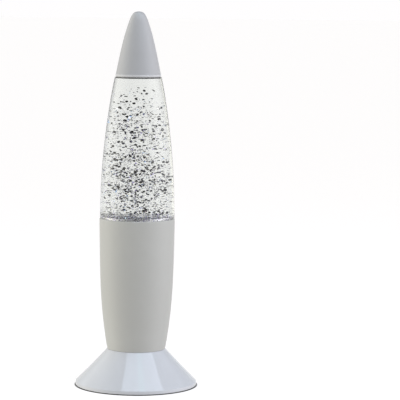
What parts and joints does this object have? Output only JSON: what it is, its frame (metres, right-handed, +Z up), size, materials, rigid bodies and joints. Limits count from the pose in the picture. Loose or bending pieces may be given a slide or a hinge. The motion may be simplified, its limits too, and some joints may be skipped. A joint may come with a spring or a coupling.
{
  "type": "glitter lamp",
  "caption": "Bullet-shaped glitter lamp: conical foot, flared body, clear liquid bottle with suspended flakes and pointed cap, with a battery door and slide switch underneath.",
  "frame": {"origin": "on the surface that the lamp stands on, under its axis: the centre of the underside of the model's box", "axes": "+Z up along the lamp's axis, -Y towards the viewer's side, +X to the viewer's right; the battery door's hinge lies towards +Y and the switch towards -Y"},
  "size_m": [0.1072, 0.1072, 0.33],
  "materials": {
    "foot_white": "gloss",
    "shell_grey": "satin",
    "cap_grey": "satin",
    "clear_bottle": "polished",
    "stopper_white": "satin",
    "liquid_clear": "polished",
    "glitter": "polished",
    "seal_grey": "matte",
    "reflector_white": "gloss",
    "diffuser_milky": "satin",
    "board_green": "gloss",
    "led_clear": "polished",
    "chip_black": "satin",
    "resistor_tan": "satin",
    "plate_black": "satin",
    "pad_black": "matte",
    "screw_zinc": "satin",
    "cell_label": "gloss",
    "spring_steel": "polished",
    "contact_nickel": "satin",
    "switch_metal": "satin",
    "knob_black": "satin",
    "lead_red": "satin",
    "lead_black": "satin"
  },
  "bodies": {
    "lamp": {"foot_shell": "foot_white", "body_shell": "shell_grey", "nose_cap": "cap_grey", "bottle": "clear_bottle", "bottle_stopper": "stopper_white", "liquid": "liquid_clear", "glitter_bed": "glitter", "glitter_flakes": "glitter", "cap_seal": "seal_grey", "reflector_cup": "reflector_white", "diffuser_disc": "diffuser_milky", "led_board": "board_green", "led_red": "led_clear", "led_green": "led_clear", "led_blue": "led_clear", "control_chip": "chip_black", "board_resistors": "resistor_tan", "board_screws": "screw_zinc", "body_screws": "screw_zinc", "base_screws": "screw_zinc", "switch_screws": "screw_zinc", "base_plate": "plate_black", "rubber_feet": "pad_black", "battery_cell_left": "cell_label", "battery_cell_middle": "cell_label", "battery_cell_right": "cell_label", "battery_springs": "spring_steel", "contact_positive": "contact_nickel", "contact_negative": "contact_nickel", "contact_bridges": "contact_nickel", "switch_housing": "switch_metal", "switch_terminals": "contact_nickel", "lead_supply": "lead_red", "lead_red": "lead_red", "lead_black": "lead_black"},
    "battery_door": {"battery_door": "plate_black"},
    "switch_knob": {"switch_knob": "knob_black"}
  },
  "joints": [
    {"name": "battery_door_hinge", "type": "hinge", "parent": "lamp", "child": "battery_door", "pos_m": [0, 0.0275, 0.0046], "axis": [1, 0, 0], "range_deg": [0, 95]},
    {"name": "switch_slide", "type": "slide", "parent": "lamp", "child": "switch_knob", "axis": [1, 0, 0], "range_m": [0, 0.003]}
  ]
}
